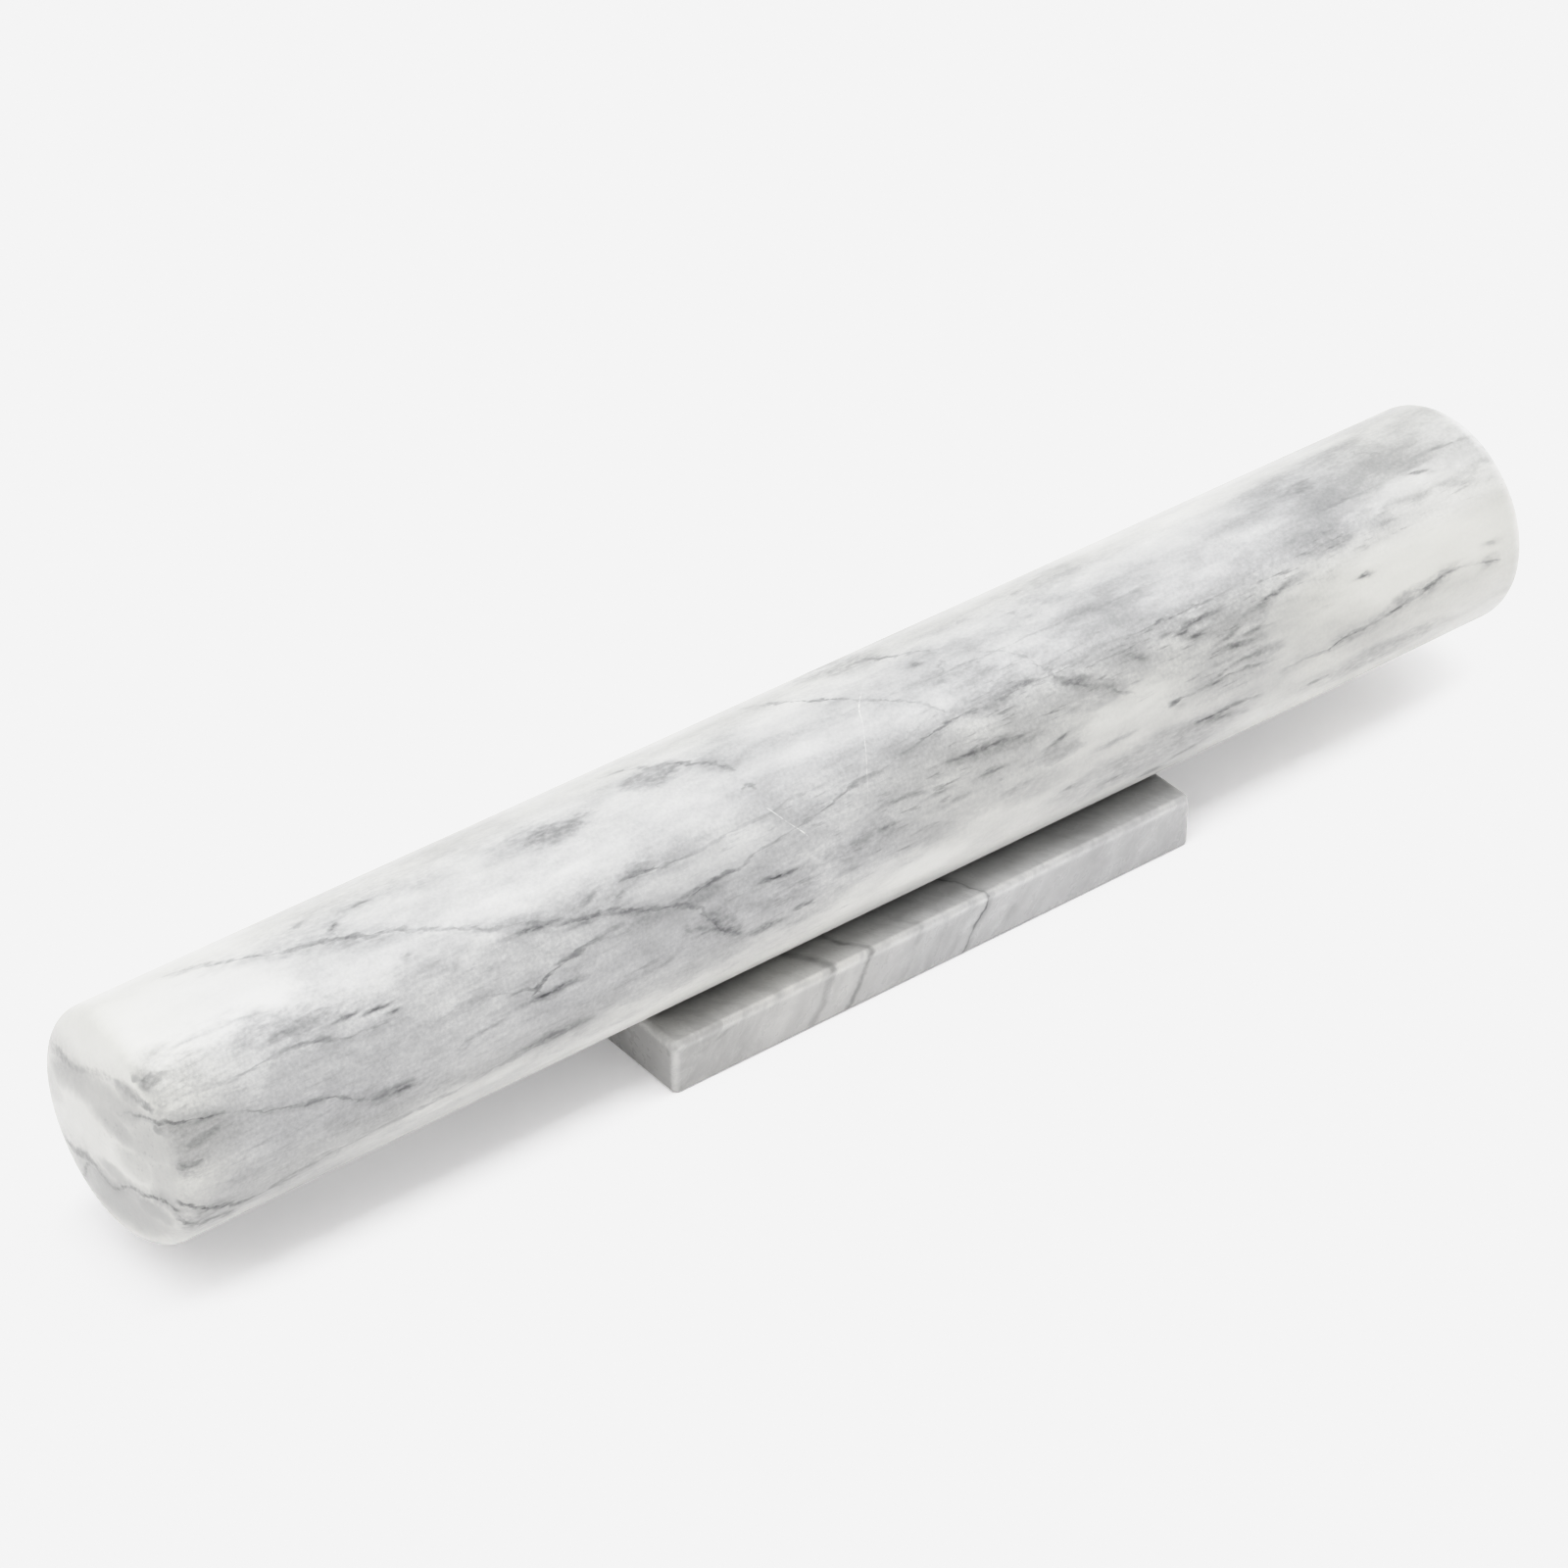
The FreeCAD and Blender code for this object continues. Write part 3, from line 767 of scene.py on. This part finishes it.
# %% smudges of the left end
# right of the axis and above it, half length and half height in mm, tilt in degrees, darkness
END_SMUDGES = (
    (12.3, 23, 1.6, 1, 20, 0.5), (15.5, 22, 2.4, 1.3, 0, 0.3), (17, 18, 2, 1, 0, 0.4),
    (21, 13.7, 2.8, 1.5, -20, 0.5), (24.5, -11, 1, 2.6, 15, 0.4), (26.6, 6, 1.6, 4, 10, 0.36),
    (1, 12, 26, 6, 8, 0.3), (5, -15, 26, 10, 8, 0.38), (-15, 8, 10, 5, 25, 0.3), (19, 9, 10, 8, 10, 0.26),
    (23, 0, 7, 11, 0, 0.25), (-21, 1, 7, 6, 0, 0.17), (20, -14, 8, 7, 0, 0.24), (6, 8, 12, 4.5, -5, 0.33),
    (11, 18, 6, 3.5, 0, 0.3), (6, -6, 8, 3, 0, 0.3), (18, -10, 9, 4, 0, 0.42), (-6, -10, 7, 3, 10, 0.34),
    (14, 1, 9, 5, 0, 0.2),
)
end_soft = lay_marks(tree, 0.0, "Smudge", on_dome, END_SMUDGES)
on_end = calc(tree, "MULTIPLY", fade(tree, from_axis, 27.6, 24.5), fade(tree, along, -150, -170))
on_far_end = calc(tree, "MULTIPLY", fade(tree, from_axis, 28, 25), fade(tree, along, 150, 170))
print(len(END_SMUDGES), "smudges on the end")

# %% [markdown]
# ## The side that is not seen
# Back and underside of the pin are hidden in the photograph. They get the same kind of stone
# without drawn veins: a slanting noise crosses its middle value along thin, branching lines. The
# left end is then given its own greys and marks.

# %% the hidden side and the end
DRAWN_FROM, DRAWN_TO = -32, 122
hidden = fade(tree, around, DRAWN_FROM, DRAWN_FROM - 38)
hidden = calc(tree, "ADD", hidden, fade(tree, around, DRAWN_TO, DRAWN_TO + 36))
hidden = calc(tree, "MAXIMUM", hidden, on_far_end)
slanted = node(tree, "Mapping", {"Vector": place, "Rotation": (0.3, 0.5, 0.45)}).outputs[0]
drift = grain(tree, slanted, (70, 18, 18), 6).outputs[0]
line = fade(tree, calc(tree, "ABSOLUTE", calc(tree, "SUBTRACT", drift, 0.5)), 0.022, 0)
line = calc(tree, "MULTIPLY", line, fade(tree, clouds, 0.42, 0.58, 0.1, 0.75))
dark = calc(tree, "MAXIMUM", calc(tree, "MULTIPLY", line, hidden), dark)
zone_grey = blend(tree, hidden, zone_grey, fade(tree, drift, 0.3, 0.7, 0.12, 0.42))

zone_grey = blend(tree, on_end, zone_grey, fade(tree, up, 12, 21, 0.13, 0.05))
dark = blend(tree, on_end, dark, end_dark)
soft = blend(tree, on_end, soft, end_soft)
print("drawn marks from", DRAWN_FROM, "to", DRAWN_TO, "degrees, noise on the rest")

# %% [markdown]
# ## Scratches
# Two hair-thin white scratches cross the front at a slant. They run nearly around the pin, so their
# curve goes the other way: it gives the place along the pin for each degree around it.

# %% two white scratches
# around the pin in degrees, along it in mm, strength, width in mm
SCRATCHES = {
    "short scratch": (
        (39, -32, 0, 0.16), (42, -31, 0.8, 0.18), (50, -28.4, 0.5, 0.14), (56, -26, 1, 0.24),
        (60, -24.6, 0, 0.16),
    ),
    "long scratch": (
        (6, 8, 0, 0.16), (9, 6.5, 1, 0.26), (14, 4.2, 1, 0.24), (22, 2.2, 0.35, 0.14), (30, 0, 0.5, 0.16),
        (45, -4, 0.45, 0.14), (62, -8, 0, 0.12),
    ),
}
scratch = lay_veins(tree, 0.0, around, along, SCRATCHES, low=-60, span=120)
scratch = calc(tree, "MULTIPLY", scratch, fade(tree, crumbs, 0.4, 0.55, 0.2, 1))
print(len(SCRATCHES), "scratches")

# %% [markdown]
# ## Breaking the marks up
# In the stone a vein is a row of grains, not a painted line. Two noises thin the marks out here and
# there. The belt also gets fine dark flecks of its own, more of them on its right half.

# %% broken marks and flecks
dark = calc(tree, "MULTIPLY", dark, fade(tree, streaks, 0.34, 0.6, 0.7, 1.05))
dark = calc(tree, "MULTIPLY", dark, fade(tree, crumbs, 0.35, 0.6, 0.6, 1.1))
thinned = fade(tree, patches, 0.3, 0.65, 0.5, 1.1)
thinned = calc(tree, "MULTIPLY", thinned, fade(tree, crumbs, 0.35, 0.62, 0.6, 1.15))
soft = calc(tree, "MULTIPLY", soft, blend(tree, on_end, thinned, 0.8))
belt_only = calc(tree, "MULTIPLY", in_belt, calc(tree, "SUBTRACT", 1, below_belt))
flecks = calc(tree, "MULTIPLY", belt_only, fade(tree, streaks, 0.56, 0.74, 0, 0.45))
flecks = calc(tree, "MULTIPLY", flecks, fade(tree, along_torn, -70, 10, 0.3, 1))
dark = calc(tree, "MAXIMUM", dark, flecks)
print("broken up with", len(tree.nodes), "nodes so far")

# %% [markdown]
# ## The grey of the stone
# Now everything placed so far is laid into one number, from 0 for white to 1 for the darkest
# mineral: the zones, four sizes of noise, the pale patches, the smudges, the dark marks and the
# scratches. Keeping it one number until the end means that every mark shares the same tones. The
# cream strip and the end are calmer than the rest, and white stone shows less noise than grey.

# %% one grey for every point
texture = 0.0
for noise, amount in (
    (clouds, 0.9),
    (patches, 0.24),
    (streaks, calc(tree, "MULTIPLY_ADD", belt_only, 0.12, 0.05)),
    (crystals, calc(tree, "MULTIPLY_ADD", belt_only, 0.1, 0.2)),
):
    texture = shake(tree, texture, noise, amount)
calm = calc(tree, "MULTIPLY", below_belt, 0.45)
calm = calc(tree, "MAXIMUM", calm, calc(tree, "MULTIPLY", on_end, 0.6))
texture = calc(tree, "MULTIPLY", texture, fade(tree, zone_grey, 0.05, 0.28, 0.4, 1))
grey = calc(tree, "MULTIPLY_ADD", texture, calc(tree, "SUBTRACT", 1, calm), zone_grey)
grey = node(tree, "Clamp", {"Value": grey}).outputs[0]
grey = calc(tree, "MULTIPLY", grey, calc(tree, "SUBTRACT", 1, pale))
grey = blend(tree, soft, grey, 1.0)
grey = blend(tree, dark, grey, 1.0)
grey = calc(tree, "MULTIPLY", grey, calc(tree, "SUBTRACT", 1, scratch))
print("the grey is one number made by", len(tree.nodes), "nodes")

# %% [markdown]
# ## Colour of the pin
# A ramp turns the number into stone colours. The right half of the front, both ends, the back and
# the underside are a little warmer, as if stained by iron. A second ramp could hold the warm tones,
# but multiplying with a faint yellow keeps both in step.

# %% colour of the pin
def stone_colour(tree, grey, tones):
    """Turns grey into colour. A tone is its place from 0 to 1, then its red, green and blue."""
    ramp = node(tree, "ValToRGB", {"Fac": grey})
    stops = ramp.color_ramp.elements
    stops[0].color = (*tones[0][1:], 1)
    stops[1].color = (*tones[-1][1:], 1)
    for spot, *colour in tones[1:-1]:
        stops.new(spot).color = (*colour, 1)
    return ramp.outputs["Color"]


def stain(tree, colour, share, tint):
    """Multiplies a colour with a tint, as much as the share says."""
    sockets = {"Factor": share, 6: colour, 7: (*tint, 1)}
    return node(tree, "Mix", sockets, data_type="RGBA", blend_type="MULTIPLY").outputs[2]


PIN_TONES = (
    (0, 0.81, 0.81, 0.793), (0.15, 0.70, 0.70, 0.692), (0.4, 0.523, 0.524, 0.526),
    (0.65, 0.345, 0.346, 0.35), (1, 0.10, 0.10, 0.105),
)
colour = stone_colour(tree, grey, PIN_TONES)
warm = calc(tree, "MAXIMUM", fade(tree, along_torn, -20, 20, 0, 0.7), fade(tree, along_torn, 60, 140))
warm = calc(tree, "MULTIPLY", warm, fade(tree, around, 30, 60))
for place_on_pin, start, end, most in (
    (around, 80, 108, 0.7),
    (around, 0, -20, 0.4),
    (along_torn, 140, 175, 0.6),
    (along_torn, -172, -198, 0.8),
):
    warm = calc(tree, "MAXIMUM", warm, fade(tree, place_on_pin, start, end, 0, most))
colour = stain(tree, colour, warm, (1, 0.997, 0.972))
print(len(PIN_TONES), "tones from white to dark grey")

# %% [markdown]
# ## Polish of the pin
# The pin is honed and not polished, so its roughness is middling and differs with the grain, and the
# crystals stand out by a hair. That is far too fine for a mesh, so a bump node tilts the light on the
# surface instead. Light sinks nearly a millimetre into marble before it comes out again: the
# subsurface part of the shader gives that soft look.

# %% polish of the pin
def polish(tree, colour, roughness, relief):
    """Sets the shader of a stone: its colour, its gloss, its fine relief and how deep light sinks in."""
    surface = tree.nodes["Principled BSDF"]
    tree.links.new(colour, surface.inputs["Base Color"])
    tree.links.new(roughness, surface.inputs["Roughness"])
    bump = node(tree, "Bump", {"Height": relief, "Strength": 0.08, "Distance": 0.05 * MM})
    tree.links.new(bump.outputs[0], surface.inputs["Normal"])
    surface.inputs["Subsurface Weight"].default_value = 0.15
    surface.inputs["Subsurface Radius"].default_value = (1, 1, 1)
    surface.inputs["Subsurface Scale"].default_value = 0.8 * MM


polish(tree, colour, fade(tree, streaks, 0.25, 0.75, 0.36, 0.48), crystals)
pin.data.materials.append(pin_stone)
print("pin material with", len(tree.nodes), "nodes")

# %% [markdown]
# ## The stand's marble
# The stand is sawn from another, greyer marble. Its veins are flat sheets that cross the whole slab
# at a slant, so a vein runs over the top edge and goes on down the front. One number per point
# tells on which sheet it lies: its place along the slab, plus a share of its depth and height.

# %% sheets of the stand
stand_centre = Vector(((stand_low.x + stand_high.x) / 2, 0, 0))
stand_stone, tree, place = new_stone("stand_marble", stand_centre)
SLANT = Vector((1, 0.6, -0.58))
SHEET_SWAY = 6
# place of a vein along its sheets in mm, darkness, half width in mm
SHEETS = (
    (-94, 0.18, 2.5), (-55.5, 0.42, 2.2), (-44.5, 0.5, 1.6), (-29.5, 0.22, 2.4), (-9.3, 0.75, 0.8),
    (-9, 0.3, 2.6), (27, 0.14, 3), (45, 0.12, 4), (52, 0.1, 3), (-72, 0.12, 4), (-21, 0.16, 4),
    (-14, 0.2, 3),
)

along, across, up = node(tree, "SeparateXYZ", {"Vector": place}).outputs
sway = grain(tree, place, (12, 12, 9), 4).outputs[0]
sheet = shake(tree, reach(tree, place, SLANT), sway, SHEET_SWAY)
dark = 0.0
for spot, darkness, half_width in SHEETS:
    distance = calc(tree, "ABSOLUTE", calc(tree, "SUBTRACT", sheet, spot))
    dark = calc(tree, "MAXIMUM", dark, fade(tree, distance, half_width, 0, 0, darkness))
print(len(SHEETS), "veins in the stand")

# %% [markdown]
# Near its left corner the front has short slanting stains. Three broad faint ones make the slab
# greyer at its ends and in its middle. They are smudges like those of the pin, on the front view of
# the slab.

# %% stains of the stand
# along and above the base in mm, half length and half height in mm, tilt in degrees, darkness
STAINS = (
    (-64, 11.2, 5, 1.0, 18, 0.34), (-70, 9.5, 3, 1.2, 25, 0.26), (22, 6, 3, 2.4, 40, 0.14),
    (-70, 8, 24, 60, 0, 0.18), (0, 8, 20, 60, 0, 0.08), (60, 8, 28, 60, 0, 0.13),
)
front = node(tree, "CombineXYZ", {"X": along, "Y": up, "Z": 1}).outputs[0]
dark = lay_marks(tree, dark, "Smudge", front, STAINS)
print(len(STAINS), "stains on the stand")

# %% [markdown]
# Layered marble is streaked along its layers, so these noises are stretched along the same sheets as
# the veins. On the top, which the pin rubs, the mottle shows most.

# %% the grain of the stand
HALF_STAND = (stand_high - stand_low) / (2 * MM)
layers = node(tree, "CombineXYZ", {"X": sheet, "Y": across, "Z": up}).outputs[0]
bands = grain(tree, layers, (9, 40, 25), 4).outputs[0]
mottle = grain(tree, layers, (2.6, 5, 4), 4).outputs[0]
grit = grain(tree, place, (0.6, 0.6, 0.6), 2).outputs[0]
dark = calc(tree, "MULTIPLY", dark, fade(tree, mottle, 0.35, 0.6, 0.5, 1.1))

from_end = calc(tree, "SUBTRACT", HALF_STAND.x, calc(tree, "ABSOLUTE", along))
from_side = calc(tree, "SUBTRACT", HALF_STAND.y, calc(tree, "ABSOLUTE", across))
from_top = calc(tree, "SUBTRACT", 2 * HALF_STAND.z, up)
top_face = fade(tree, from_top, 1.5, 0.3)
grey = shake(tree, 0.32, bands, 0.36)
streaky = calc(tree, "MULTIPLY_ADD", top_face, 0.24, 0.17)
grey = shake(tree, grey, mottle, streaky)
grey = shake(tree, grey, grit, 0.08)
print("stand of", [round(2 * v, 1) for v in HALF_STAND], "mm in three grains")

# %% [markdown]
# The eased edges are lighter, partly worn by hands and cloths and partly a painted highlight of the
# light that catches them. A point is on an edge where it is near two faces at once, so the distances
# from two faces are added up. The top face is painted a little lighter too. The ends are a little
# darker than the front, and a thin painted shade darkens the foot where the slab meets the table.

# %% lit and worn edges, darker ends, painted shade at the foot
near_edge = calc(tree, "MULTIPLY_ADD", calc(tree, "ADD", from_end, from_side), 1.1, 0.7)
for beside in (from_end, from_side):
    near_edge = calc(tree, "MINIMUM", near_edge, calc(tree, "MULTIPLY_ADD", beside, 1.5, from_top))
# painted highlight and wear: the eased edges are lighter
lit_and_worn = calc(tree, "MULTIPLY", fade(tree, near_edge, 2.8, 1.3), fade(tree, mottle, 0.3, 0.7, 0.85, 0.4))
# painted light: the top face is made a little lighter
lit_and_worn = calc(tree, "MAXIMUM", lit_and_worn, calc(tree, "MULTIPLY", top_face, 0.1))
grey = node(tree, "Clamp", {"Value": grey}).outputs[0]
grey = calc(tree, "MULTIPLY", grey, calc(tree, "SUBTRACT", 1, lit_and_worn))
# the ends are a little darker than the front
dark_ends_and_foot_shade = calc(tree, "MULTIPLY", fade(tree, from_end, 2, 0.3, 0, 0.2), fade(tree, near_edge, 1.8, 3.2))
# painted shade: a thin dark line where the slab meets the table
dark_ends_and_foot_shade = calc(tree, "MAXIMUM", dark_ends_and_foot_shade, fade(tree, up, 1.2, 0.4, 0, 0.2))
grey = blend(tree, calc(tree, "MAXIMUM", dark, dark_ends_and_foot_shade), grey, 1.0)
print("worn edges with", len(tree.nodes), "nodes so far")

# %% [markdown]
# The stand is smoother than the pin and shines a little more. Its left part is faintly warmer than
# the rest. Ramp, tint and polish are the pin's helpers with other numbers.

# %% colour and polish of the stand
STAND_TONES = ((0, 0.8, 0.8, 0.79), (0.3, 0.62, 0.62, 0.618), (1, 0.16, 0.16, 0.165))
colour = stone_colour(tree, grey, STAND_TONES)
colour = stain(tree, colour, fade(tree, along, 5, -35), (1, 0.995, 0.98))
polish(tree, colour, fade(tree, mottle, 0.25, 0.75, 0.24, 0.36), grit)
stand.data.materials.append(stand_stone)
print("stand material with", len(tree.nodes), "nodes")

# %% [markdown]
# ## The floor
# The pin stands on plain white paper that reaches out of the picture. A studio bends the paper up
# behind the set; seen from this height one large disc is enough. A white studio throws light back
# from all sides into the shadow; a faint glow of the paper stands for that light and costs nothing
# to render.

# %% floor
FLOOR_RADIUS = 6
FLOOR_GLOW = 0.19
floor_mesh = bmesh.new()
bmesh.ops.create_circle(floor_mesh, cap_ends=True, segments=96, radius=FLOOR_RADIUS)
mesh = bpy.data.meshes.new("floor")
floor_mesh.to_mesh(mesh)
floor_mesh.free()
floor = bpy.data.objects.new("floor", mesh)
bpy.context.scene.collection.objects.link(floor)
floor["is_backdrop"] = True
paper = bpy.data.materials.new("paper")
paper.use_nodes = True
paper_shader = paper.node_tree.nodes["Principled BSDF"]
for socket, value in (
    ("Base Color", (0.95, 0.945, 0.953, 1)),
    ("Roughness", 1.0),
    ("Specular IOR Level", 0.0),
    ("Emission Color", (1, 1, 1, 1)),
    ("Emission Strength", FLOOR_GLOW),
):
    paper_shader.inputs[socket].default_value = value
floor.data.materials.append(paper)
print("floor", [round(v, 1) for v in floor.dimensions], "m")

# %% [markdown]
# ## The sky of the studio
# Around the set it is dim near the floor and brighter overhead. A picture of a studio could light it,
# but a number that rises with the height of the direction does too. It keeps the lower side of the
# pin a little darker than its top.

# %% sky
HORIZON, ZENITH = 0.12, 0.6
world = bpy.data.worlds.new("studio")
bpy.context.scene.world = world
world.use_nodes = True
sky = world.node_tree
direction = node(sky, "TexCoord", {}).outputs["Generated"]
height = node(sky, "SeparateXYZ", {"Vector": direction}).outputs["Z"]
sockets = {"Value": height, "From Min": 0.1, "From Max": 0.9, "To Min": HORIZON, "To Max": ZENITH}
glow = node(sky, "MapRange", sockets).outputs[0]
sky.links.new(glow, sky.nodes["Background"].inputs["Strength"])
sky.nodes["Background"].inputs["Color"].default_value = (1, 1, 1, 1)
print("sky from", HORIZON, "to", ZENITH)

# %% [markdown]
# ## The lamps
# The shadow in the photograph is soft beside the pin and yet stops short at both ends of it. A square
# lamp would blur all sides alike. A lamp that is as long as a table and narrow, hung along the pin,
# gives just this shadow. A second, weaker one near the camera lights the end and the front. A third,
# small one stands low behind the right end and sends a narrow beam past it, because the shadow there
# is the lightest.

# %% lamps
def side(azimuth, elevation):
    """The direction towards a side, in degrees to the right of the front and above the floor."""
    azimuth, elevation = math.radians(azimuth), math.radians(elevation)
    return Vector((
        math.sin(azimuth) * math.cos(elevation),
        -math.cos(azimuth) * math.cos(elevation),
        math.sin(elevation),
    ))


def softbox(name, towards, distance, length, width, power, aim=Vector(), beam=180):
    """A flat lamp that faces its aim from a distance. The beam opens by so many degrees."""
    lamp = bpy.data.lights.new(name, "AREA")
    lamp.shape = "RECTANGLE"
    lamp.size = length
    lamp.size_y = width
    lamp.energy = power
    lamp.spread = math.radians(beam)
    box = bpy.data.objects.new(name, lamp)
    box.location = aim + distance * towards
    box.rotation_mode = "QUATERNION"
    box.rotation_quaternion = towards.to_track_quat("Z", "Y")
    bpy.context.scene.collection.objects.link(box)


softbox("overhead softbox", side(0, 86), distance=1.6, length=5, width=0.9, power=38)
softbox("front softbox", side(-38, 58), distance=1.9, length=1.5, width=1.5, power=2.8)
softbox(
    "right softbox", side(108, 20), distance=0.6, length=0.35, width=0.35, power=0.2,
    aim=Vector((HALF_LENGTH, -RADIUS, 0)), beam=60,
)
print([lamp.name for lamp in bpy.data.lights])

# %% [markdown]
# ## The camera
# The photograph is taken from the left and from above with a long lens, which keeps the far end of
# the pin nearly as thick as the near end. The angles and the distance are those at which the ends of
# the pin and the corners of the stand fall on their places in the photograph.

# %% camera
AZIMUTH, ELEVATION = -38.24, 36.09
DISTANCE = 1433 * MM
AIM = Vector((-9.06, 4.31, 44.73)) * MM
back = side(AZIMUTH, ELEVATION)
lens = bpy.data.cameras.new("camera")
lens.sensor_width = 36
lens.lens = 140.96
camera = bpy.data.objects.new("camera", lens)
camera.location = AIM + DISTANCE * back
camera.rotation_mode = "QUATERNION"
camera.rotation_quaternion = (-back).to_track_quat("-Z", "Y")
bpy.context.scene.collection.objects.link(camera)
bpy.context.scene.camera = camera
print("camera at", [round(v, 3) for v in camera.location], "m, lens", round(lens.lens, 1), "mm")

# %% [markdown]
# ## Tones of the picture
# A product photograph is developed so that the paper turns into an even, nearly white ground. A curve
# does the same here: bright tones level out just below white, and dark ones are held down a little.

# %% tones of the picture
BRIGHTEST, GROUND = 2, 0.905
# light that comes in, and the tone it gets
TONES = ((0.1, 0.055), (0.3, 0.25), (0.55, 0.53), (0.8, 0.8), (1.05, 0.9), (1.3, GROUND))
look = bpy.context.scene.view_settings
look.view_transform = "Standard"
look.look = "None"
look.use_curve_mapping = True
look.curve_mapping.clip_max_x = BRIGHTEST
tone_curve = look.curve_mapping.curves[3]
tone_curve.points[1].location = (BRIGHTEST, GROUND)
for light_in, tone in TONES:
    tone_curve.points.new(light_in, tone)
for spot in tone_curve.points:
    spot.handle_type = "AUTO_CLAMPED"
look.curve_mapping.update()
print(len(tone_curve.points), "points on the tone curve")

# %% [markdown]
# ## Finish
# The bounds of the measured frame and of the finished pieces are compared, and the largest
# difference between them is printed. They should be the same, so a slip in the modelling would show
# here at once.

# %% finish
visual_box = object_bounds()
off = max(abs(a - b) for cad, visual in zip(cad_box, visual_box) for a, b in zip(cad, visual))
print("largest difference to the frame", round(off / MM, 3), "mm")
